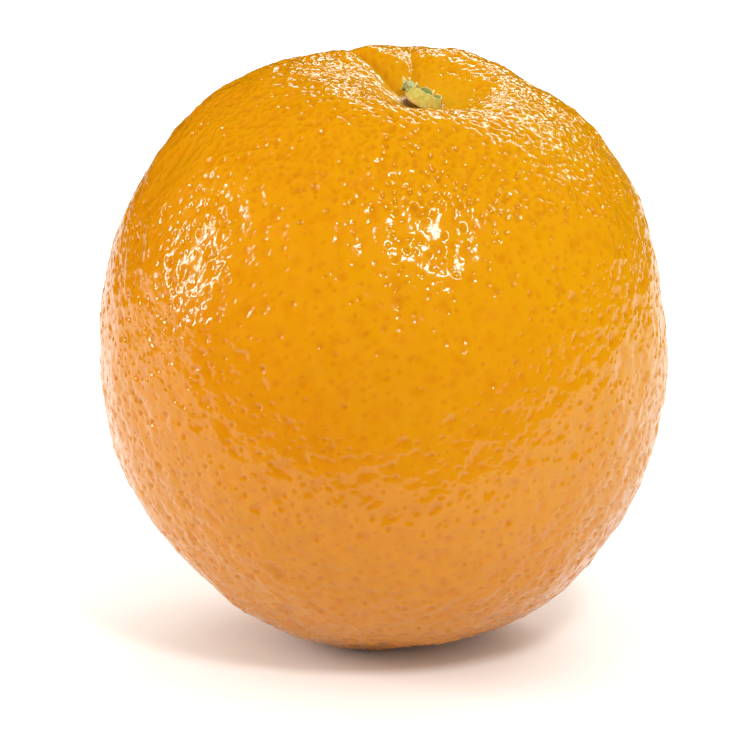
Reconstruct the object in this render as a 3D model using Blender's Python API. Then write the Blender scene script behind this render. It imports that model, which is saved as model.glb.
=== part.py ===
"""A whole orange with its green button, standing on a small flat spot and leaning a little.

The fruit is one closed solid. Its surface is a distance from the fruit's middle, worked out for
every direction by the functions below: an oval body, the hollow at the stem with the furrows that
run into it, the scar at the blossom end, and the pits of the skin. Lengths are in metres.
"""

import math

import bmesh
import bpy
import numpy as np
from mathutils import Matrix, Vector

# Body: distance from the middle to the skin, and how it differs round the fruit
MEAN_RADIUS = 0.04173
TALLER = 0.00123          # longer from stem to blossom end than across
FLATTER_ENDS = 0.00024
SHEAR_X, SHEAR_Y = -0.00044, 0.00046   # top pushed one way, bottom the other
FULLER_X, FULLER_Y = -0.00055, 0.00019  # one side of the waist fuller than the other
DEEPER_THAN_WIDE = 0.00014

# Pose: the stem leans right and towards the front
LEAN_RIGHT = math.radians(6.9)
LEAN_FRONT = math.radians(6.4)
MIDDLE = Vector((0.0006, -0.0002, 0.0423))  # the fruit's middle above the ground, over the origin

# Stem hollow
SEAT_RADIUS = 0.0030      # level floor under the button
HOLLOW_DEPTH = 0.0073
HOLLOW_REACH = 0.0078
HOLLOW_FALL = 1.5         # how quickly the wall levels out

# Furrows down into the hollow: direction in degrees, depth, half width, outer end
FURROWS = (
    (7, 0.0007, 0.0016, 0.017),
    (97, 0.0013, 0.0014, 0.019),
    (130, 0.0019, 0.0015, 0.021),
    (235, 0.0007, 0.0020, 0.018),
    (310, 0.0007, 0.0020, 0.018),
)
FURROW_START = 0.0025

# Lobes between the furrows, and the low front of the hollow's rim:
# direction in degrees, distance from the stem, height, half width
LOBES = (
    (66, 0.0145, 0.0010, 0.0065),
    (113, 0.0140, 0.0006, 0.0060),
    (180, 0.0140, -0.0008, 0.0070),
    (265, 0.0085, -0.0021, 0.0050),
)

# Broad dents and swellings of the body: longitude and latitude in degrees, height, half width
SWELLINGS = (
    (4, 19, -0.0010, 0.010),
    (128, 55, -0.0016, 0.008),
    (158, 48, 0.0003, 0.009),
    (-153, -50, -0.0005, 0.009),
    (-126, -68, 0.0002, 0.009),
    (-52, -66, -0.0006, 0.010),
    (-177, -12, -0.0003, 0.010),
)

# Scar at the blossom end
SCAR_DEPTH = 0.0006
SCAR_RADIUS = 0.0024

# Skin pits, larger and fewer than the real ones
PITS = 1180
PIT_RIMS = (0.17, 0.28)   # rim radius, in spacings
PIT_SLOPES = (0.50, 0.64)  # depth over rim radius
PIT_CORNERS = 4
PIT_SPREAD = 0.13         # how far a pit strays from even spacing, in spacings
STEM_CROWDING = 3.2       # times closer by area round the stem, where the shape is finest
CROWDED_REACH = 0.016     # how far round the stem the pits lie closer
TILT_STEPS = 4000         # from the stem down to the blossom end, for spacing the pits
HOLLOW_PITS = (0.006, 0.014)  # distances from the stem where pits start to show and show fully
REST_PITS = (0.007, 0.011)    # the same from the middle of the resting spot
SEED = 11

# Button
BUTTON_RADIUS = 0.0027
BUTTON_GAP = 0.00035      # clear of the fruit below it
SEPALS = 5
SEPAL_SWELL = 0.08
BUTTON_SIDES = 40
STUB_OFFSET = (-0.0011, 0.0009)
# Rings of the button from its underside to the top of the stub:
# share of the radius, height, how far the sepals show, how far the ring follows the stub
BUTTON_RINGS = (
    (0.72, 0.0000, 0.6, 0.0),
    (0.97, 0.0004, 1.0, 0.0),
    (1.02, 0.0011, 1.0, 0.0),
    (0.98, 0.0019, 0.9, 0.1),
    (0.86, 0.0025, 0.7, 0.2),
    (0.72, 0.0025, 0.5, 0.4),
    (0.54, 0.0018, 0.2, 0.8),
    (0.42, 0.0019, 0.0, 1.0),
    (0.38, 0.0026, 0.0, 1.0),
    (0.27, 0.0029, 0.0, 1.0),
)

ORANGE = (0.80, 0.30, 0.012, 1.0)
PEEL_ROUGHNESS = 0.32
LEAF_GREEN = (0.42, 0.44, 0.10, 1.0)
BUTTON_ROUGHNESS = 0.6


def body_radius(d):
    """Distance to the smooth body, without hollow or relief, in each direction of d."""
    polar = np.arccos(np.clip(d[:, 2], -1, 1))
    across = np.hypot(d[:, 0], d[:, 1])
    radius = MEAN_RADIUS + TALLER * np.cos(2 * polar) - FLATTER_ENDS * np.cos(4 * polar)
    radius += 2 * d[:, 2] * (SHEAR_X * d[:, 0] + SHEAR_Y * d[:, 1])
    radius += across**2 * (FULLER_X * d[:, 0] + FULLER_Y * d[:, 1])
    return radius - DEEPER_THAN_WIDE * (d[:, 0] ** 2 - d[:, 1] ** 2)


def place_by_stem(d):
    """Where each direction lies as seen down the stem, and 1 above the waist, 0 below."""
    x, y = MEAN_RADIUS * d[:, 0], MEAN_RADIUS * d[:, 1]
    return x, y, (d[:, 2] > 0).astype(float)


def hollow_sink(d):
    """How far the stem hollow lowers the skin."""
    x, y, above = place_by_stem(d)
    out = np.maximum(np.hypot(x, y) - SEAT_RADIUS, 0) / HOLLOW_REACH
    return above * HOLLOW_DEPTH * np.exp(-(out**HOLLOW_FALL))


def smooth_step(start, end, value):
    t = np.clip((value - start) / (end - start), 0, 1)
    return t * t * (3 - 2 * t)


def furrow_sink(d):
    """How far the furrows lower the skin. Each is a crease that starts beside the button."""
    x, y, above = place_by_stem(d)
    sink = np.zeros(len(d))
    for degrees, depth, width, end in FURROWS:
        turn = math.radians(degrees)
        along = x * math.cos(turn) + y * math.sin(turn)
        aside = np.abs(y * math.cos(turn) - x * math.sin(turn))
        run = smooth_step(FURROW_START, 3 * FURROW_START, along)
        run *= 1 - smooth_step(0.45 * end, end, along)
        sink += depth * run * np.exp(-aside / width)
    return above * sink


def lobe_rise(d):
    """How far the lobes between the furrows raise the skin."""
    x, y, above = place_by_stem(d)
    rise = np.zeros(len(d))
    for degrees, distance, height, width in LOBES:
        turn = math.radians(degrees)
        off = np.hypot(x - distance * math.cos(turn), y - distance * math.sin(turn))
        rise += height * np.exp(-((off / width) ** 2))
    return above * rise


def swelling_rise(d):
    """How far the broad swellings raise the skin. A dent is a swelling below nothing."""
    rise = np.zeros(len(d))
    for longitude, latitude, height, width in SWELLINGS:
        turn, tilt = math.radians(longitude), math.radians(latitude)
        across = math.cos(tilt)
        centre = np.array((across * math.cos(turn), across * math.sin(turn), math.sin(tilt)))
        off = MEAN_RADIUS * np.arccos(np.clip(d @ centre, -1, 1))
        rise += height * np.exp(-((off / width) ** 2))
    return rise


def scar_sink(d):
    """How far the blossom scar lowers the skin at the lower end."""
    off = MEAN_RADIUS * np.hypot(d[:, 0], d[:, 1])
    return (d[:, 2] < 0) * SCAR_DEPTH * np.exp(-((off / SCAR_RADIUS) ** 4))


def skin_radius(d):
    raised = body_radius(d) + lobe_rise(d) + swelling_rise(d)
    return raised - hollow_sink(d) - furrow_sink(d) - scar_sink(d)


def pit_strength(d):
    """1 on open skin, 0 in the smooth hollow, on the scar and round the resting spot."""
    off = MEAN_RADIUS * np.hypot(d[:, 0], d[:, 1])
    hollow = np.where(d[:, 2] > 0, smooth_step(*HOLLOW_PITS, off), 1)
    scar = np.where(d[:, 2] < 0, smooth_step(SCAR_RADIUS, 2 * SCAR_RADIUS, off), 1)
    down = np.array(stand_matrix().to_3x3().inverted() @ Vector((0, 0, -1)))
    from_rest = MEAN_RADIUS * np.arccos(np.clip(d @ down, -1, 1))
    return hollow * scar * smooth_step(*REST_PITS, from_rest)


def stand_matrix():
    """Turns the upright fruit into its pose and sets its middle over the ground."""
    lean = Matrix.Rotation(LEAN_FRONT, 4, "X") @ Matrix.Rotation(LEAN_RIGHT, 4, "Y")
    return Matrix.Translation(MIDDLE) @ lean


def unit(vectors):
    return vectors / np.linalg.norm(vectors, axis=1)[:, None]


def pit_directions(rng):
    """Directions and spacing of the pits: a spiral from the stem down, closer round the stem."""
    polar = np.linspace(0, math.pi, TILT_STEPS)
    crowding = 1 + (STEM_CROWDING - 1) * np.exp(-((MEAN_RADIUS * polar / CROWDED_REACH) ** 4))
    pits_above = np.cumsum(crowding * np.sin(polar))
    index = np.arange(PITS)
    tilt = np.interp((index + 0.5) / PITS, pits_above / pits_above[-1], polar)
    turn = index * math.pi * (3 - math.sqrt(5))
    d = np.stack([np.sin(tilt) * np.cos(turn), np.sin(tilt) * np.sin(turn), np.cos(tilt)], 1)
    mean_crowding = math.pi / 2 * np.mean(crowding * np.sin(polar))
    crowding_here = np.interp(tilt, polar, crowding)
    spacing = np.sqrt(4 * math.pi / PITS * mean_crowding / crowding_here)
    return unit(d + rng.normal(0, 1, d.shape) * (PIT_SPREAD * spacing)[:, None]), spacing


def rim_directions(pits, radius, rng):
    """The corners of every pit's rim, corner by corner."""
    sideways = unit(np.cross(pits, rng.normal(0, 1, pits.shape)))
    onward = np.cross(pits, sideways)
    radius = radius[:, None]
    corners = []
    for i in range(PIT_CORNERS):
        turn = 2 * math.pi * i / PIT_CORNERS
        corners.append(unit(pits + radius * (math.cos(turn) * sideways + math.sin(turn) * onward)))
    return np.concatenate(corners)


def hull_of(directions):
    """The closed triangle mesh over these directions."""
    mesh = bmesh.new()
    for d in directions:
        mesh.verts.new(d)
    bmesh.ops.convex_hull(mesh, input=mesh.verts)
    mesh.verts.index_update()
    mesh.verts.ensure_lookup_table()
    return mesh


def make_material(name, colour, roughness):
    material = bpy.data.materials.new(name)
    material.use_nodes = True
    shader = material.node_tree.nodes["Principled BSDF"]
    shader.inputs["Base Color"].default_value = colour
    shader.inputs["Roughness"].default_value = roughness
    shader.inputs["Metallic"].default_value = 0.0
    return material


def add_object(name, mesh, material):
    bmesh.ops.recalc_face_normals(mesh, faces=mesh.faces)
    data = bpy.data.meshes.new(name)
    mesh.to_mesh(data)
    mesh.free()
    data.materials.append(material)
    data.shade_smooth()
    piece = bpy.data.objects.new(name, data)
    bpy.context.scene.collection.objects.link(piece)
    return piece


def make_fruit():
    """The skin as one solid, with a corner at the bottom of every pit and four round its rim."""
    rng = np.random.default_rng(SEED)
    pits, spacing = pit_directions(rng)
    rims = rng.uniform(*PIT_RIMS, len(pits)) * spacing
    depth = MEAN_RADIUS * rims * rng.uniform(*PIT_SLOPES, len(pits)) * pit_strength(pits)
    directions = np.concatenate([pits, rim_directions(pits, rims, rng)])
    radius = skin_radius(directions)
    radius[: len(pits)] -= depth
    mesh = hull_of(directions)
    for v, r in zip(mesh.verts, radius):
        v.co *= float(r)
    mesh.transform(stand_matrix())
    cut_resting_spot(mesh)
    material = make_material("orange_peel", ORANGE, PEEL_ROUGHNESS)
    return add_object("fruit", mesh, material)


def cut_resting_spot(mesh):
    """Cuts the fruit level with the ground, and closes it with one flat face."""
    everything = mesh.verts[:] + mesh.edges[:] + mesh.faces[:]
    ground, up = Vector((0, 0, 0)), Vector((0, 0, 1))
    bmesh.ops.bisect_plane(mesh, geom=everything, plane_co=ground, plane_no=up, clear_inner=True)
    rim = [edge for edge in mesh.edges if edge.is_boundary]
    for v in {v for edge in rim for v in edge.verts}:
        v.co.z = 0.0
    bmesh.ops.contextual_create(mesh, geom=rim)


def make_button():
    """The dried green button: fleshy sepals in a ring, and the stub of the cut stem."""
    stem = np.array([[0.0, 0.0, 1.0]])
    floor = float(skin_radius(stem)[0])
    mesh = bmesh.new()
    rings = []
    for share, height, sepal, stub in BUTTON_RINGS:
        ring = []
        for i in range(BUTTON_SIDES):
            turn = 2 * math.pi * i / BUTTON_SIDES
            radius = BUTTON_RADIUS * share * (1 + SEPAL_SWELL * sepal * math.cos(SEPALS * turn))
            x = radius * math.cos(turn) + stub * STUB_OFFSET[0]
            y = radius * math.sin(turn) + stub * STUB_OFFSET[1]
            ring.append(mesh.verts.new((x, y, floor + BUTTON_GAP + height)))
        rings.append(ring)
    for lower, upper in zip(rings, rings[1:]):
        for i in range(BUTTON_SIDES):
            j = (i + 1) % BUTTON_SIDES
            mesh.faces.new((lower[i], lower[j], upper[j], upper[i]))
    mesh.faces.new(rings[0][::-1])
    mesh.faces.new(rings[-1])
    mesh.transform(stand_matrix())
    material = make_material("green_button", LEAF_GREEN, BUTTON_ROUGHNESS)
    return add_object("calyx", mesh, material)


def main():
    for thing in list(bpy.data.objects):
        bpy.data.objects.remove(thing)
    make_fruit()
    make_button()


main()
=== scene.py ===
import math

import bpy
import numpy as np
from mathutils import Matrix, Vector
from mathutils.kdtree import KDTree


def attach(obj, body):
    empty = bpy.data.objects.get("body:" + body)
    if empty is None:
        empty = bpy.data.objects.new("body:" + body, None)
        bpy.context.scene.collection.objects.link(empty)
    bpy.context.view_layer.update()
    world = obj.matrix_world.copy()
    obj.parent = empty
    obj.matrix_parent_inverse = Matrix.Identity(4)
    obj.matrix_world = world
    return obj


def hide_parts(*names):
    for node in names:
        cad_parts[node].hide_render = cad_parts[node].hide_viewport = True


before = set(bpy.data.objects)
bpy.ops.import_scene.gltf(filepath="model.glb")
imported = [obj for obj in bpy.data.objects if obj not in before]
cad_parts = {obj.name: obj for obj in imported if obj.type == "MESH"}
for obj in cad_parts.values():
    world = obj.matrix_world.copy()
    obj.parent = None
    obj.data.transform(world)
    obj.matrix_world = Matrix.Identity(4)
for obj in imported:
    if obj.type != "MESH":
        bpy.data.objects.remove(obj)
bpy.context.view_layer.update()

# Body of the fruit, as its solid is made: distance from the middle to the skin. Lengths are in metres
MEAN_RADIUS = 0.04173
TALLER = 0.00123
FLATTER_ENDS = 0.00024
SHEAR_X, SHEAR_Y = -0.00044, 0.00046
FULLER_X, FULLER_Y = -0.00055, 0.00019
DEEPER_THAN_WIDE = 0.00014

# Pose: the stem leans right and towards the front
LEAN_RIGHT = math.radians(6.9)
LEAN_FRONT = math.radians(6.4)
MIDDLE = Vector((0.0006, -0.0002, 0.0423))

# Stem hollow, and the furrows that run into it: direction in degrees, depth, half width, outer end
SEAT_RADIUS = 0.0030
HOLLOW_DEPTH = 0.0073
HOLLOW_REACH = 0.0078
HOLLOW_FALL = 1.5
FURROWS = (
    (7, 0.0007, 0.0016, 0.017),
    (97, 0.0013, 0.0011, 0.019),
    (130, 0.0019, 0.0012, 0.021),
    (235, 0.0007, 0.0020, 0.018),
    (310, 0.0007, 0.0020, 0.018),
)
FURROW_START = 0.0025

# Lobes between the furrows, and the low front of the hollow's rim:
# direction in degrees, distance from the stem, height, half width
LOBES = (
    (66, 0.0145, 0.0010, 0.0065),
    (113, 0.0140, 0.0006, 0.0060),
    (180, 0.0140, -0.0008, 0.0070),
    (265, 0.0085, -0.0021, 0.0050),
)

# Broad dents and swellings: longitude and latitude in degrees, height, half width
SWELLINGS = (
    (4, 19, -0.0010, 0.010),
    (128, 55, -0.0016, 0.008),
    (158, 48, 0.0003, 0.009),
    (-153, -50, -0.0005, 0.009),
    (-126, -68, 0.0002, 0.009),
    (-52, -66, -0.0006, 0.010),
    (-177, -12, -0.0003, 0.010),
)

# Blossom scar
SCAR_DEPTH = 0.0006
SCAR_RADIUS = 0.0024

# Skin relief
GRID = 256                      # squares along each side of the six patches of the skin
LAYOUT_MARGIN = 0.01            # left free round each patch in the flat layout
SEED = 29
# Pits: number, near the stem only, least and greatest radius, least and greatest depth over radius
PIT_KINDS = (
    (900, False, 0.00070, 0.00125, 0.09, 0.20),
    (2500, False, 0.00085, 0.00155, 0.035, 0.100),
    (9000, False, 0.00030, 0.00058, 0.16, 0.46),
    (2600, True, 0.00038, 0.00070, 0.16, 0.42),
)
PIT_SPREAD = 0.24               # how far a pit strays from even spacing, in spacings
PIT_SIZES = (1.5, 2.0)          # how the sizes spread: these make the smaller ones the more common
PIT_LIP = 0.16                  # height of the swollen rim over depth
LIP_REACH = 1.9                 # where the swollen rim ends, in pit radii
DEEP_PIT = 0.00016              # a pit as deep as this gets the full painted shade in the colour
WAVES = (                       # rolling of the skin: shortest and longest wave, height, number of waves
    (0.0080, 0.0180, 0.00011, 40),
    (0.0034, 0.0058, 0.000050, 60),
    (0.0017, 0.0030, 0.000024, 80),
)
PAINTED_LIGHT_SIDE = (0.40, -0.10, 0.85)  # painted light: the peel is painted lighter and yellower on this side, where the light falls
WRINKLE_HEIGHT = 0.000016
STEM_CAP = 0.16                 # the pits near the stem lie on this share of the height
LONGEST_PIT = 0.4               # how much longer than wide a pit may be
LIP_START = 0.55                # where the swollen rim starts, in pit radii
SMOOTH_WALL = (0.0042, 0.0095)  # from the stem, where the pits start and where they are at their full
CALMEST = 0.5                   # height of the waves in the smooth hollow, over that on open skin
ROUGHER_LOBES = 0.5             # how much higher the waves are on the lobes round the hollow
LOBES_BEGIN, LOBES_END = (0.006, 0.010), (0.016, 0.026)  # from the stem
WRINKLE_CRESTS = range(11, 33, 3)  # fine wrinkles round the wall of the hollow
WRINKLE_DRIFT = 150             # how far they turn aside on their way up, in radians for each metre
WRINKLES_BEGIN, WRINKLES_END = (0.0024, 0.0036), (0.0050, 0.0105)  # from the stem
STEM_COLOUR_REACH = 0.0060      # of the greenish tint round the stem
STAIN_AND_SHADE_REACH = 0.00085           # of the dark brown under the edge of the button: dry skin, and painted shade where the button overhangs

# Button
BUTTON_RADIUS = 0.00255
BUTTON_PLACE = (0.0003, 0.0)
BUTTON_TILT = math.radians(21)  # its right side lies lower

# Pad of grown-together sepals, from the underside over the rim to the middle:
# share of the radius, height, how much the notches show. Ripples: crests all round, share of the radius
PAD_PROFILE = (
    (0.42, -0.00090, 0.0),
    (0.50, -0.00020, 0.1),
    (0.88, -0.00008, 0.8),
    (1.00, 0.00010, 1.0),
    (1.03, 0.00040, 1.0),
    (1.00, 0.00085, 1.0),
    (0.94, 0.00128, 1.0),
    (0.87, 0.00168, 1.0),
    (0.81, 0.00200, 1.0),
    (0.77, 0.00215, 1.0),
    (0.73, 0.00208, 1.0),
    (0.69, 0.00178, 0.9),
    (0.58, 0.00148, 0.6),
    (0.30, 0.00142, 0.2),
    (0.10, 0.00142, 0.0),
)
PAD_HEIGHT = 0.00215
PAD_SIDES, PAD_ROWS = 240, 100
PAD_EDGE_RIPPLES = ((2, 0.035), (3, 0.030), (4, 0.02), (13, 0.006), (29, 0.005), (47, 0.004))
PAD_TOP_RIPPLES = ((1, 0.02), (3, 0.02), (5, 0.015), (17, 0.006), (31, 0.004))

# Notches between the sepals: direction in degrees, half width, how deep
NOTCHES = (
    (257, 0.13, 0.10),
    (338, 0.30, 0.12),
    (52, 0.20, 0.36),
    (128, 0.22, 0.42),
    (196, 0.18, 0.30),
)
NOTCH_SHAPE = 1.4               # higher is flatter at the bottom of the notch

# Cut stem: share of the radius, height
STUB_PROFILE = (
    (1.25, 0.0008),
    (1.08, 0.0011),
    (0.98, 0.0012),
    (1.02, 0.0014),
    (1.06, 0.0015),
    (0.96, 0.0017),
    (0.60, 0.0017),
    (0.20, 0.0016),
)
STUB_SIDES, STUB_ROWS = 120, 50
STUB_SIDE_RIPPLES = ((2, 0.10), (3, 0.08), (5, 0.06), (9, 0.04), (16, 0.025), (27, 0.012))
STUB_TOP_RIPPLES = ((1, 0.05), (3, 0.04), (7, 0.02))
STUB_RADIUS = 0.00098
STUB_PLACE = (-0.0017, 0.0009)
STUB_LEAN = -0.37               # the stub leans left over the tilted pad

# Dry tips behind: direction in degrees, distance, length, width, lean in degrees
TIPS = (
    (150, 0.00340, 0.0019, 0.00200, 30),
    (118, 0.00250, 0.0019, 0.00080, 30),
    (92, 0.00240, 0.0018, 0.00070, 24),
    (72, 0.00245, 0.0020, 0.00060, 30),
    (55, 0.00240, 0.0018, 0.00065, 22),
    (30, 0.00250, 0.0013, 0.00070, 30),
)
TIP_SIDES, TIP_ROWS = 20, 24
TIP_THICKNESS = 0.00014
TIP_FOOT = 0.0002               # height of the tips' lower end
TIP_CURL = 0.10                 # how far a tip curls aside, over its width
TIP_TAPER = 1.8                 # higher is blunter
TIP_WAVES, TIP_WAVE_HEIGHT = 14, 0.06  # of a tip's wavy edges: radians from foot to point, share of the width

# Camera and light
LOOK_AT = Vector((0.00006, -0.0002, 0.04187))
LOOK_DOWN = math.radians(12.7)
CAMERA_DISTANCE = 0.5
LENS, SENSOR = 175.0, 36.0
FRAME_PIXELS = 730
NEAREST_SEEN, FARTHEST_SEEN = 0.01, 20.0
OBJECT_PIXEL = (384, 348)       # where the point looked at lies in the picture
LIGHTS = (                      # direction from the fruit, distance, width and height, power in watts
    ("key", (0.245, -0.675, 0.70), 0.75, (0.13, 0.13), 2.25),
    ("left_strip", (-0.92, -0.03, 0.35), 0.70, (0.045, 0.31), 1.75),
    ("back_right", (0.34, 0.70, 0.62), 0.90, (0.80, 0.07), 2.7),
)
SURROUNDINGS = (0.98, 0.97, 0.92, 1.0)
SURROUNDINGS_STRENGTH = 1.06
FLOOR_HALF = 3.0
FLOOR_SPLIT = -0.078            # the floor nearer the camera than this isn't mirrored in the skin


def smooth_step(start, end, value):
    t = np.clip((value - start) / (end - start), 0, 1)
    return t * t * (3 - 2 * t)


def unit(vectors):
    return vectors / np.linalg.norm(vectors, axis=1)[:, None]


def body_radius(d):
    """Distance to the smooth body in each direction of d."""
    polar = np.arccos(np.clip(d[:, 2], -1, 1))
    across = np.hypot(d[:, 0], d[:, 1])
    radius = MEAN_RADIUS + TALLER * np.cos(2 * polar) - FLATTER_ENDS * np.cos(4 * polar)
    radius += 2 * d[:, 2] * (SHEAR_X * d[:, 0] + SHEAR_Y * d[:, 1])
    radius += across**2 * (FULLER_X * d[:, 0] + FULLER_Y * d[:, 1])
    return radius - DEEPER_THAN_WIDE * (d[:, 0] ** 2 - d[:, 1] ** 2)


def place_by_stem(d):
    """Where each direction lies as seen down the stem, and 1 above the waist, 0 below."""
    return MEAN_RADIUS * d[:, 0], MEAN_RADIUS * d[:, 1], (d[:, 2] > 0).astype(float)


def hollow_sink(d):
    x, y, above = place_by_stem(d)
    out = np.maximum(np.hypot(x, y) - SEAT_RADIUS, 0) / HOLLOW_REACH
    return above * HOLLOW_DEPTH * np.exp(-(out**HOLLOW_FALL))


def furrow_sink(d):
    x, y, above = place_by_stem(d)
    sink = np.zeros(len(d))
    for degrees, depth, width, end in FURROWS:
        turn = math.radians(degrees)
        along = x * math.cos(turn) + y * math.sin(turn)
        aside = np.abs(y * math.cos(turn) - x * math.sin(turn))
        run = smooth_step(FURROW_START, 3 * FURROW_START, along)
        run *= 1 - smooth_step(0.45 * end, end, along)
        sink += depth * run * np.exp(-aside / width)
    return above * sink


def lobe_rise(d):
    x, y, above = place_by_stem(d)
    rise = np.zeros(len(d))
    for degrees, distance, height, width in LOBES:
        turn = math.radians(degrees)
        off = np.hypot(x - distance * math.cos(turn), y - distance * math.sin(turn))
        rise += height * np.exp(-((off / width) ** 2))
    return above * rise


def swelling_rise(d):
    rise = np.zeros(len(d))
    for longitude, latitude, height, width in SWELLINGS:
        turn, tilt = math.radians(longitude), math.radians(latitude)
        centre = np.array((math.cos(tilt) * math.cos(turn), math.cos(tilt) * math.sin(turn), math.sin(tilt)))
        off = MEAN_RADIUS * np.arccos(np.clip(d @ centre, -1, 1))
        rise += height * np.exp(-((off / width) ** 2))
    return rise


def scar_sink(d):
    off = MEAN_RADIUS * np.hypot(d[:, 0], d[:, 1])
    return (d[:, 2] < 0) * SCAR_DEPTH * np.exp(-((off / SCAR_RADIUS) ** 4))


def skin_radius(d):
    raised = body_radius(d) + lobe_rise(d) + swelling_rise(d)
    return raised - hollow_sink(d) - furrow_sink(d) - scar_sink(d)


def stand_matrix():
    """Turns the upright fruit into its pose and sets its middle over the ground."""
    lean = Matrix.Rotation(LEAN_FRONT, 4, "X") @ Matrix.Rotation(LEAN_RIGHT, 4, "Y")
    return Matrix.Translation(MIDDLE) @ lean


def open_skin(d):
    """1 where the skin is pitted, 0 in the smooth hollow and on the blossom scar."""
    off = MEAN_RADIUS * np.hypot(d[:, 0], d[:, 1])
    hollow = np.where(d[:, 2] > 0, smooth_step(*SMOOTH_WALL, off), 1)
    return hollow * np.where(d[:, 2] < 0, smooth_step(0.8 * SCAR_RADIUS, 2 * SCAR_RADIUS, off), 1)


def skin_waves(d, rng):
    """The rolling of the skin: many waves across the fruit, of set lengths and any direction."""
    total = np.zeros(len(d))
    for shortest, longest, height, count in WAVES:
        for _ in range(count):
            heading = rng.normal(0, 1, 3)
            heading *= 2 * math.pi * MEAN_RADIUS / rng.uniform(shortest, longest) / np.linalg.norm(heading)
            total += height * math.sqrt(2 / count) * np.sin(d @ heading + rng.uniform(0, 2 * math.pi))
    return total


def pit_directions(count, rng):
    """Directions of the pits: an even spiral from the stem down, shaken a little."""
    index = np.arange(count) + 0.5
    z = 1 - 2 * index / count
    turn = index * math.pi * (3 - math.sqrt(5))
    across = np.sqrt(1 - z * z)
    d = np.stack([across * np.cos(turn), across * np.sin(turn), z], 1)
    spacing = math.sqrt(4 * math.pi / count)
    return unit(d + rng.normal(0, PIT_SPREAD * spacing, d.shape))


def crowd_to_stem(d):
    """Draws directions spread over the whole fruit together on the cap round the stem."""
    z = 1 - STEM_CAP * (1 - d[:, 2])
    across = np.sqrt(1 - z * z) / np.maximum(np.hypot(d[:, 0], d[:, 1]), 1e-6)
    return np.stack([d[:, 0] * across, d[:, 1] * across, z], 1)


def pit_relief(d, rng):
    """How far the pits lower the skin and their rims raise it, and how deep in a pit each point is."""
    tree = KDTree(len(d))
    for i in rng.permutation(len(d)):
        tree.insert(d[i], i)
    tree.balance()
    height, inside = np.zeros(len(d)), np.zeros(len(d))
    for count, near_stem, smallest, largest, flattest, steepest in PIT_KINDS:
        pits = pit_directions(count, rng)
        if near_stem:
            pits = crowd_to_stem(pits)
        radii = smallest + (largest - smallest) * rng.beta(*PIT_SIZES, count)
        depths = radii * rng.uniform(flattest, steepest, count) * open_skin(pits)
        sideways = unit(np.cross(pits, rng.normal(0, 1, pits.shape)))
        stretch = rng.uniform(0.0, LONGEST_PIT, count)
        for pit, radius, depth, side, long in zip(pits, radii, depths, sideways, stretch):
            found = tree.find_range(pit, LIP_REACH * (1 + long) * radius / MEAN_RADIUS)
            if depth <= 0 or not found:
                continue
            index = np.array([f[1] for f in found])
            offset = (d[index] - pit) * MEAN_RADIUS
            along = offset @ side
            t = np.sqrt((offset**2).sum(1) - along**2 * (1 - 1 / (1 + long) ** 2)) / radius
            bowl = np.where(t < 1, (1 - t * t) ** 2, 0)
            lip = PIT_LIP * np.sin(np.pi * np.clip((t - LIP_START) / (LIP_REACH - LIP_START), 0, 1)) ** 2
            height[index] += depth * (lip - bowl)
            inside[index] = np.maximum(inside[index], bowl * min(1.0, depth / DEEP_PIT))
    return height, inside


def stem_wrinkles(d, rng):
    """Fine wrinkles that run up the wall of the hollow, away from the button."""
    x, y, above = place_by_stem(d)
    off, turn = np.hypot(x, y), np.arctan2(y, x)
    total = np.zeros(len(d))
    for crests in WRINKLE_CRESTS:
        drift = rng.uniform(-WRINKLE_DRIFT, WRINKLE_DRIFT) * off
        total += np.sin(crests * turn + drift + rng.uniform(0, 2 * math.pi))
    window = smooth_step(*WRINKLES_BEGIN, off) * (1 - smooth_step(*WRINKLES_END, off))
    return WRINKLE_HEIGHT * above * window * total


def cube_patches():
    """Corners, squares and flat layout of a sphere made of six square patches of the same size."""
    step = np.tan(np.linspace(-math.pi / 4, math.pi / 4, GRID + 1))
    a, b = np.meshgrid(step, step, indexing="ij")
    one = np.ones_like(a)
    faces = ((a, b, one), (b, a, -one), (one, a, b), (-one, b, a), (b, one, a), (a, -one, b))
    points = np.concatenate([np.stack(face, -1).reshape(-1, 3) for face in faces])
    points = unit(points)
    corner = np.arange((GRID + 1) ** 2).reshape(GRID + 1, GRID + 1)
    square = np.stack([corner[:-1, :-1], corner[1:, :-1], corner[1:, 1:], corner[:-1, 1:]], -1).reshape(-1, 4)
    squares = np.concatenate([square + i * (GRID + 1) ** 2 for i in range(6)])
    share = np.linspace(LAYOUT_MARGIN, 1 - LAYOUT_MARGIN, GRID + 1)
    u, v = np.meshgrid(share, share, indexing="ij")
    layout = [np.stack([(u + i % 3) / 3, (v + i // 3) / 2], -1).reshape(-1, 2) for i in range(6)]
    _, first, same = np.unique(np.round(points, 6), axis=0, return_index=True, return_inverse=True)
    return points[first], same.reshape(-1)[squares], np.concatenate(layout)[squares]


def mesh_object(name, points, faces, layout=None):
    """A smooth-shaded object from arrays of points and four-sided faces."""
    mesh = bpy.data.meshes.new(name)
    mesh.vertices.add(len(points))
    mesh.vertices.foreach_set("co", np.ascontiguousarray(points, np.float32).ravel())
    mesh.loops.add(faces.size)
    mesh.loops.foreach_set("vertex_index", np.ascontiguousarray(faces, np.int32).ravel())
    mesh.polygons.add(len(faces))
    mesh.polygons.foreach_set("loop_start", np.arange(0, faces.size, faces.shape[1], dtype=np.int32))
    mesh.update(calc_edges=True)
    if layout is not None:
        mesh.uv_layers.new(name="OFBake").data.foreach_set("uv", layout.astype(np.float32).ravel())
    mesh.validate()
    mesh.shade_smooth()
    piece = bpy.data.objects.new(name, mesh)
    bpy.context.scene.collection.objects.link(piece)
    return piece


def add_values(piece, name, values):
    """Stores one number for each point of the piece, for its material to read."""
    layer = piece.data.attributes.new(name, "FLOAT", "POINT")
    layer.data.foreach_set("value", np.ascontiguousarray(values, np.float32))


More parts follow.
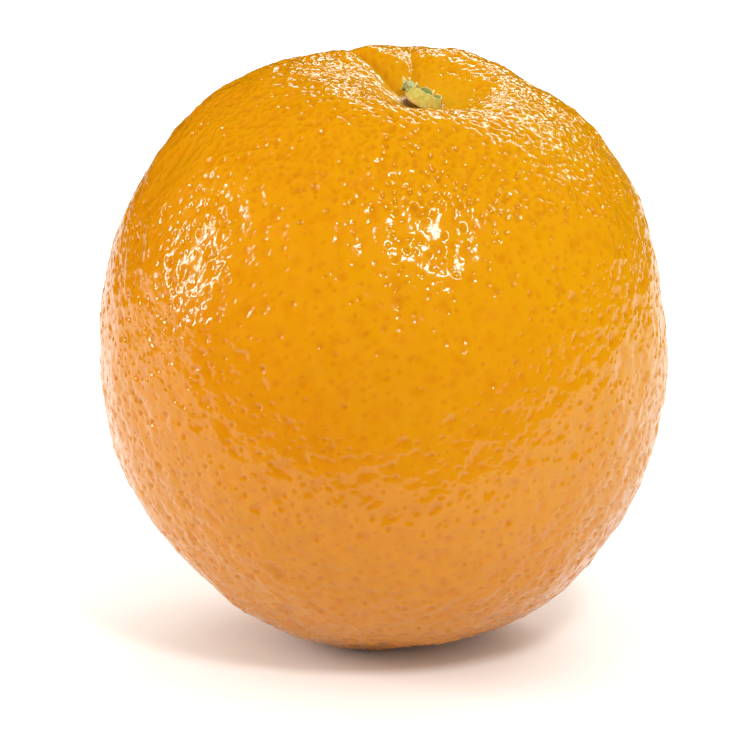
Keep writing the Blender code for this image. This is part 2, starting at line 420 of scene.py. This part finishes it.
def stand(points):
    """Points of the upright fruit, moved into its pose."""
    matrix = np.array(stand_matrix())
    return points @ matrix[:3, :3].T + matrix[:3, 3]


def make_skin():
    """The whole peel: body, hollow, furrows and scar by formula, then waves and pits."""
    rng = np.random.default_rng(SEED)
    d, squares, layout = cube_patches()
    x, y, above = place_by_stem(d)
    relief, inside = pit_relief(d, rng)
    off = MEAN_RADIUS * np.hypot(d[:, 0], d[:, 1])
    lively = CALMEST + (1 - CALMEST) * open_skin(d)
    lively += ROUGHER_LOBES * smooth_step(*LOBES_BEGIN, off) * (1 - smooth_step(*LOBES_END, off)) * above
    radius = skin_radius(d) + relief + lively * skin_waves(d, rng) + stem_wrinkles(d, rng)
    points = stand(d * radius[:, None])
    points[:, 2] = np.maximum(points[:, 2], 0.0)
    skin = mesh_object("orange_skin", points, squares, layout)
    add_values(skin, "pit", inside)
    add_values(skin, "near_stem", above * np.exp(-((off / STEM_COLOUR_REACH) ** 2)))
    # the dark ring under the button's edge: partly dry skin, partly painted shade
    rim = np.hypot(x - BUTTON_PLACE[0], y - BUTTON_PLACE[1]) - BUTTON_RADIUS
    add_values(skin, "button_edge", above * np.exp(-((rim / STAIN_AND_SHADE_REACH) ** 2)))
    add_values(skin, "near_scar", np.where(d[:, 2] < 0, np.exp(-((off / SCAR_RADIUS) ** 2)), 0))
    # painted light: how far each point faces the lit side
    add_values(skin, "painted_lit_side", d @ np.array(PAINTED_LIGHT_SIDE))
    return skin


class Value:
    """A shader socket that can be used in arithmetic. Each operator adds a Math node."""

    def __init__(self, shader, socket):
        self.shader = shader
        self.socket = socket

    def _math(self, operation, first, second):
        return self.shader.node("ShaderNodeMath", {"operation": operation}, {0: first, 1: second})

    def __add__(self, other):
        return self._math("ADD", self, other)

    def __sub__(self, other):
        return self._math("SUBTRACT", self, other)

    def __mul__(self, other):
        return self._math("MULTIPLY", self, other)

    def __rsub__(self, other):
        return self._math("SUBTRACT", other, self)

    __radd__ = __add__
    __rmul__ = __mul__

    def clamped(self):
        return self.shader.node("ShaderNodeClamp", {}, {"Value": self})


class Shader:
    """Builds one material's nodes."""

    def __init__(self, name):
        self.material = bpy.data.materials.new(name)
        self.material.use_nodes = True
        self.tree = self.material.node_tree
        self.principled = self.tree.nodes["Principled BSDF"]

    def node(self, kind, settings, inputs, output=0):
        """Adds a node: its type, its settings, then a value or a link for each input."""
        made = self.tree.nodes.new(kind)
        for key, value in settings.items():
            setattr(made, key, value)
        for key, value in inputs.items():
            self.feed(made.inputs[key], value)
        return Value(self, made.outputs[output])

    def feed(self, socket, value):
        if isinstance(value, Value):
            self.tree.links.new(value.socket, socket)
        else:
            socket.default_value = value

    def set(self, **inputs):
        """Feeds the Principled shader. An underscore in a name stands for a space."""
        for key, value in inputs.items():
            self.feed(self.principled.inputs[key.replace("_", " ")], value)

    def attribute(self, name):
        return self.node("ShaderNodeAttribute", {"attribute_name": name}, {}, "Fac")

    def place(self):
        return self.node("ShaderNodeTexCoord", {}, {}, "Object")

    def noise(self, per_metre, detail=3.0, roughness=0.5):
        inputs = {"Vector": self.place(), "Scale": per_metre, "Detail": detail, "Roughness": roughness}
        return self.node("ShaderNodeTexNoise", {}, inputs, "Fac")

    def mix(self, factor, first, second):
        """The first colour where the factor is 0, the second where it is 1."""
        return self.node("ShaderNodeMix", {"data_type": "RGBA"}, {0: factor, 6: first, 7: second}, 2)

    def span(self, value, low, high, to_low=0.0, to_high=1.0):
        """Runs from to_low to to_high while the value runs from low to high, and stops there."""
        inputs = {"Value": value, "From Min": low, "From Max": high, "To Min": to_low, "To Max": to_high}
        return self.node("ShaderNodeMapRange", {}, inputs)

    def bump(self, height, distance):
        return self.node("ShaderNodeBump", {}, {"Height": height, "Distance": distance}, "Normal")


def peel_material():
    """Waxy orange peel: painted light makes it lighter and yellower on the lit side towards the stem, painted
    shade makes it deeper in the pits, and it is brown round the button, from dry skin and painted shade, and
    round the scar.
    """
    s = Shader("pitted_orange_peel")
    painted_lit_side = s.attribute("painted_lit_side")
    broad = s.noise(38.0)
    fine = s.noise(420.0, detail=2.0)
    # lit and shaded copies of the peel colour: painted light
    shaded_side_peel = (0.515, 0.183, 0.0008, 1.0)
    lit_side_peel = (0.615, 0.285, 0.0008, 1.0)
    fleck = (0.62, 0.235, 0.0010, 1.0)
    deep = (0.50, 0.110, 0.0008, 1.0)
    greenish = (0.72, 0.42, 0.02, 1.0)
    stain_and_shade = (0.15, 0.055, 0.010, 1.0)
    brown = (0.30, 0.17, 0.06, 1.0)
    # painted light: the peel runs from its shaded to its lit copy towards the lit side, mixed with a broad
    # random tone
    colour = s.mix(s.span(painted_lit_side + (broad - 0.5) * 0.7, -0.05, 1.0), shaded_side_peel, lit_side_peel)
    colour = s.mix(s.span(fine, 0.35, 0.75, 0.0, 0.35), colour, fleck)
    # painted shade: the peel darker and redder in the pits, the deeper the darker
    colour = s.mix(s.attribute("pit") * 0.35, colour, deep)
    stem = s.attribute("near_stem")
    colour = s.mix(stem * s.span(broad, 0.3, 0.7, 0.15, 0.6), colour, greenish)
    edge = s.attribute("button_edge")
    # dark brown under the button's edge: partly dry skin, partly painted shade
    colour = s.mix(edge * 0.85, colour, stain_and_shade)
    scar = s.attribute("near_scar")
    colour = s.mix((scar * s.span(fine, 0.3, 0.6, 0.6, 1.0)).clamped(), colour, brown)
    warp = s.node("ShaderNodeTexNoise", {}, {"Vector": s.place(), "Scale": 700.0, "Detail": 1.0}, "Color")
    place = s.node("ShaderNodeVectorMath", {"operation": "SCALE"}, {0: warp, "Scale": 0.0007})
    place = s.node("ShaderNodeVectorMath", {"operation": "ADD"}, {0: s.place(), 1: place})
    cell = s.node("ShaderNodeTexVoronoi", {"feature": "F1"}, {"Vector": place, "Scale": 1050.0}, "Distance")
    cobble = 1 - cell * cell
    grain = cobble + s.noise(2600.0, 2.0, 0.6) * 0.5
    waxy = s.span(fine, 0.3, 0.7, 0.09, 0.15)
    s.set(Base_Color=colour, Roughness=waxy + scar * 0.3 + edge * 0.75)
    s.set(Normal=s.bump(grain, 0.000035))
    s.set(IOR=1.43)
    s.set(Subsurface_Weight=0.10, Subsurface_Radius=(1.0, 0.30, 0.06), Subsurface_Scale=0.003)
    return s.material


def loft(rings):
    """Points and faces of a closed body from rings of points, bottom first, capped at both ends."""
    count = rings.shape[1]
    ends = np.stack([rings[0].mean(0), rings[-1].mean(0)])
    points = np.concatenate([rings.reshape(-1, 3), ends])
    i = np.arange(count)
    j = (i + 1) % count
    faces = []
    for k in range(len(rings) - 1):
        low, high = k * count, (k + 1) * count
        faces.append(np.stack([low + i, low + j, high + j, high + i], 1))
    bottom, top, last = len(points) - 2, len(points) - 1, (len(rings) - 1) * count
    half = np.arange(0, count, 2)
    one = np.ones_like(half)
    faces.append(np.stack([one * bottom, (half + 2) % count, half + 1, half], 1))
    faces.append(np.stack([one * top, last + half, last + half + 1, last + (half + 2) % count], 1))
    return points, np.concatenate(faces)


def profile(keys, count):
    """A smooth run through the key rows: count rows in all."""
    keys = np.array(keys, float)
    run = np.linspace(0, len(keys) - 1, count)
    low = np.clip(run.astype(int), 0, len(keys) - 2)
    t = (run - low)[:, None]
    before, after = np.clip(low - 1, 0, None), np.clip(low + 2, None, len(keys) - 1)
    a, b, c, e = keys[before], keys[low], keys[low + 1], keys[after]
    return b + 0.5 * t * (c - a + t * (2 * a - 5 * b + 4 * c - e + t * (3 * (b - c) + e - a)))


def ripple(turn, rng, waves):
    """A closed irregular ripple round a ring: for each wave its number of crests and height."""
    total = np.zeros_like(turn)
    for crests, height in waves:
        total += height * np.sin(crests * turn + rng.uniform(0, 2 * math.pi))
    return total


def set_button(points):
    """Tilts points of the button a little, and puts them on the floor of the hollow in the standing fruit."""
    x, y, z = points.T
    floor = float(skin_radius(np.array([[0.0, 0.0, 1.0]]))[0])
    across = x * math.cos(BUTTON_TILT) + z * math.sin(BUTTON_TILT)
    height = z * math.cos(BUTTON_TILT) - x * math.sin(BUTTON_TILT)
    placed = (across + BUTTON_PLACE[0], y + BUTTON_PLACE[1], floor + height)
    return stand(np.stack(placed, 1))


def make_pad(rng):
    """The fleshy sepals, grown together into one low pad with notches and a thin raised rim."""
    rows = profile(PAD_PROFILE, PAD_ROWS)
    turn = np.linspace(0, 2 * math.pi, PAD_SIDES, endpoint=False)
    notch = np.zeros(PAD_SIDES)
    for degrees, width, depth in NOTCHES:
        gap = (turn - math.radians(degrees) + math.pi) % (2 * math.pi) - math.pi
        notch = np.maximum(notch, depth * np.exp(-np.abs(gap / width) ** NOTCH_SHAPE))
    share, height, shown = rows[:, 0:1], rows[:, 1:2], rows[:, 2:3]
    ragged = ripple(turn, rng, PAD_EDGE_RIPPLES)
    radius = BUTTON_RADIUS * share * (1 - shown * (0.5 * notch - ragged))
    worn = ripple(turn, rng, PAD_TOP_RIPPLES)
    z = height * (1 - np.clip(height / PAD_HEIGHT, 0, 1) ** 2 * (notch - worn))
    points, faces = loft(np.stack([radius * np.cos(turn), radius * np.sin(turn), z], -1))
    pad = mesh_object("calyx_pad", set_button(points), faces)
    row = np.broadcast_to(np.linspace(0, 1, PAD_ROWS)[:, None], radius.shape)
    add_values(pad, "row", np.concatenate([row.ravel(), [0, 1]]))
    add_values(pad, "notch", np.concatenate([np.broadcast_to(notch, radius.shape).ravel(), [0, 0]]))
    return pad


def make_stub(rng):
    """The short knobby end of the cut stem."""
    rows = profile(STUB_PROFILE, STUB_ROWS)
    turn = np.linspace(0, 2 * math.pi, STUB_SIDES, endpoint=False)
    uneven = 1 + ripple(turn, rng, STUB_SIDE_RIPPLES)
    radius = STUB_RADIUS * rows[:, 0:1] * uneven
    z = rows[:, 1:2] * (1 + ripple(turn, rng, STUB_TOP_RIPPLES))
    x = radius * np.cos(turn) + STUB_PLACE[0] + STUB_LEAN * z
    y = radius * np.sin(turn) + STUB_PLACE[1]
    points, faces = loft(np.stack([x, y, z], -1))
    stub = mesh_object("stem_stub", set_button(points), faces)
    row = np.broadcast_to(np.linspace(0, 1, STUB_ROWS)[:, None], radius.shape)
    add_values(stub, "row", np.concatenate([row.ravel(), [0, 1]]))
    return stub


def make_tips(rng):
    """The narrow dry tips of sepals that stand round the back of the pad."""
    t = np.linspace(0, 1, TIP_ROWS)[:, None]
    turn = np.linspace(0, 2 * math.pi, TIP_SIDES, endpoint=False)
    all_points, all_faces, rows = [], [], []
    for degrees, distance, length, width, lean in TIPS:
        heading, leaning = math.radians(degrees), math.radians(lean) * t
        out = distance + length * t * np.sin(leaning) + TIP_THICKNESS * (1.05 - t) * np.cos(turn)
        curl = TIP_CURL * width * np.sin(3 * t + rng.uniform(0, 6))
        half = 0.5 * width * np.sqrt(np.clip(1 - t**TIP_TAPER, 0.003, 1))
        half = half * (1 + TIP_WAVE_HEIGHT * np.sin(TIP_WAVES * t + degrees))
        side = half * np.sin(turn) + curl
        z = np.broadcast_to(TIP_FOOT + length * t * np.cos(leaning), side.shape)
        x = out * math.cos(heading) - side * math.sin(heading)
        y = out * math.sin(heading) + side * math.cos(heading)
        points, faces = loft(np.stack([x, y, z], -1))
        all_faces.append(faces + sum(len(p) for p in all_points))
        all_points.append(points)
        rows.append(np.concatenate([np.broadcast_to(t, side.shape).ravel(), [0, 1]]))
    tips = mesh_object("calyx_tips", set_button(np.concatenate(all_points)), np.concatenate(all_faces))
    add_values(tips, "row", np.concatenate(rows))
    return tips


def pad_material():
    """Dry fleshy sepals: olive yellow outside, greener inside, a pale thin rim, and painted shade in dark
    brown below.
    """
    s = Shader("green_button_flesh")
    row, notch = s.attribute("row"), s.attribute("notch")
    mottle = s.noise(620.0, 4.0, 0.6)
    speck = s.noise(2600.0, 3.0, 0.6)
    yellow = (0.60, 0.44, 0.055, 1.0)
    olive = (0.46, 0.43, 0.075, 1.0)
    straw = (0.76, 0.66, 0.20, 1.0)
    green = (0.22, 0.26, 0.07, 1.0)
    pale_green = (0.62, 0.66, 0.30, 1.0)
    pale_brown = (0.72, 0.58, 0.26, 1.0)
    painted_shade_brown = (0.07, 0.03, 0.010, 1.0)
    olive_brown = (0.16, 0.12, 0.035, 1.0)
    colour = s.mix(s.span(mottle, 0.36, 0.64), yellow, olive)
    colour = s.mix(s.span(speck, 0.45, 0.70, 0.0, 0.55), colour, straw)
    inside = s.span(row, 0.685, 0.81)
    colour = s.mix(inside, colour, green)
    rim = s.span(row, 0.575, 0.645) * s.span(row, 0.725, 0.665)
    colour = s.mix(rim * 0.8, colour, pale_green)
    lower_edge = s.span(row, 0.165, 0.23) * s.span(row, 0.32, 0.25)
    colour = s.mix(lower_edge * 0.7, colour, pale_brown)
    # painted shade: the underside of the pad painted dark brown
    underside = s.span(row, 0.185, 0.11, 0.0, 0.9)
    colour = s.mix(underside, colour, painted_shade_brown)
    colour = s.mix((notch * 1.6).clamped() * s.span(row, 0.35, 0.63), colour, olive_brown)
    s.set(Base_Color=colour, Roughness=s.span(speck, 0.3, 0.7, 0.45, 0.65))
    s.set(Normal=s.bump(mottle + speck * 0.8, 0.00016))
    s.set(Specular_IOR_Level=0.25)
    s.set(Subsurface_Weight=0.06, Subsurface_Scale=0.001)
    return s.material


def tip_material():
    """Thin dry tips, yellowish green at the foot and straw-coloured at the point."""
    s = Shader("green_button_tips")
    row = s.attribute("row")
    speck = s.noise(1900.0, 3.0, 0.6)
    yellowish_green = (0.50, 0.44, 0.07, 1.0)
    straw = (0.86, 0.66, 0.28, 1.0)
    dull_green = (0.42, 0.40, 0.12, 1.0)
    colour = s.mix(row, yellowish_green, straw)
    colour = s.mix(s.span(speck, 0.4, 0.7, 0.0, 0.5), colour, dull_green)
    s.set(Base_Color=colour, Roughness=s.span(speck, 0.3, 0.7, 0.5, 0.7))
    s.set(Normal=s.bump(speck, 0.00010))
    return s.material


def stub_material():
    """Greyish green bark of the stub with a pale cut face."""
    s = Shader("green_button_stub")
    row = s.attribute("row")
    speck = s.noise(2200.0, 4.0, 0.65)
    dark_bark = (0.19, 0.22, 0.060, 1.0)
    light_bark = (0.54, 0.54, 0.21, 1.0)
    cut_face = (0.56, 0.55, 0.30, 1.0)
    colour = s.mix(s.span(speck, 0.35, 0.65), dark_bark, light_bark)
    colour = s.mix(s.span(row, 0.70, 0.95, 0.0, 0.7), colour, cut_face)
    s.set(Base_Color=colour, Roughness=s.span(speck, 0.3, 0.7, 0.5, 0.7))
    s.set(Normal=s.bump(speck, 0.00022))
    return s.material


def floor_material():
    """Matt white with a very faint broad mottle."""
    s = Shader("pale_sweep")
    off_white = (0.92, 0.92, 0.915, 1.0)
    white = (0.94, 0.94, 0.935, 1.0)
    s.set(Base_Color=s.mix(s.span(s.noise(3.0, 2.0), 0.3, 0.7), off_white, white), Roughness=0.9)
    s.set(Specular_IOR_Level=0.0)
    return s.material


def make_floor():
    """A plain pale floor in two sheets that meet in front of the fruit."""
    material = floor_material()
    for name, near, far, mirrored in (
        ("floor_front", -FLOOR_HALF, FLOOR_SPLIT, False),
        ("floor_back", FLOOR_SPLIT, FLOOR_HALF, True),
    ):
        corners = [(-FLOOR_HALF, near, 0), (FLOOR_HALF, near, 0), (FLOOR_HALF, far, 0), (-FLOOR_HALF, far, 0)]
        floor = mesh_object(name, np.array(corners, float), np.array([[0, 1, 2, 3]]))
        floor.data.materials.append(material)
        floor.visible_glossy = mirrored


def aim(thing, place, target):
    """Puts a camera or light at a place and turns it to face the target."""
    thing.location = place
    thing.rotation_mode = "QUATERNION"
    thing.rotation_quaternion = (Vector(target) - Vector(place)).to_track_quat("-Z", "Y")


def add_light(name, direction, distance, size, power):
    """A soft rectangular light that shines on the fruit from a direction."""
    data = bpy.data.lights.new(name, "AREA")
    data.shape = "RECTANGLE"
    data.size, data.size_y = size
    data.energy = power
    light = bpy.data.objects.new(name, data)
    bpy.context.scene.collection.objects.link(light)
    aim(light, LOOK_AT + Vector(direction).normalized() * distance, LOOK_AT)


def make_world():
    """Pale surroundings that light the fruit softly and aren't mirrored in it."""
    world = bpy.data.worlds.new("studio")
    world.use_nodes = True
    background = world.node_tree.nodes["Background"]
    background.inputs["Color"].default_value = SURROUNDINGS
    background.inputs["Strength"].default_value = SURROUNDINGS_STRENGTH
    world.cycles_visibility.glossy = False
    world.cycles.sampling_method = "NONE"
    bpy.context.scene.world = world


def make_camera():
    """Looks down on the fruit from the front, moved aside so that the fruit stands where it should."""
    data = bpy.data.cameras.new("camera")
    data.lens, data.sensor_width = LENS, SENSOR
    data.clip_start, data.clip_end = NEAREST_SEEN, FARTHEST_SEEN
    camera = bpy.data.objects.new("camera", data)
    bpy.context.scene.collection.objects.link(camera)
    back = Vector((0, -math.cos(LOOK_DOWN), math.sin(LOOK_DOWN)))
    up = Vector((0, math.sin(LOOK_DOWN), math.cos(LOOK_DOWN)))
    metres_per_pixel = SENSOR / LENS * CAMERA_DISTANCE / FRAME_PIXELS
    aside = (OBJECT_PIXEL[0] - FRAME_PIXELS / 2) * metres_per_pixel
    over = (FRAME_PIXELS / 2 - OBJECT_PIXEL[1]) * metres_per_pixel
    centre = LOOK_AT - Vector((aside, 0, 0)) - up * over
    aim(camera, centre + back * CAMERA_DISTANCE, centre)
    bpy.context.scene.camera = camera


def main():
    make_camera()
    make_world()
    for light in LIGHTS:
        add_light(*light)
    make_floor()
    rng = np.random.default_rng(SEED + 1)
    for piece, material, slot, node in (
        (make_skin(), peel_material(), "orange_peel", "fruit"),
        (make_pad(rng), pad_material(), "green_button", "calyx"),
        (make_tips(rng), tip_material(), "green_button", "calyx"),
        (make_stub(rng), stub_material(), "green_button", "calyx"),
    ):
        piece.data.materials.append(material)
        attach(piece, "root")
        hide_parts(node)
    bpy.context.scene.view_settings.view_transform = "Standard"


main()
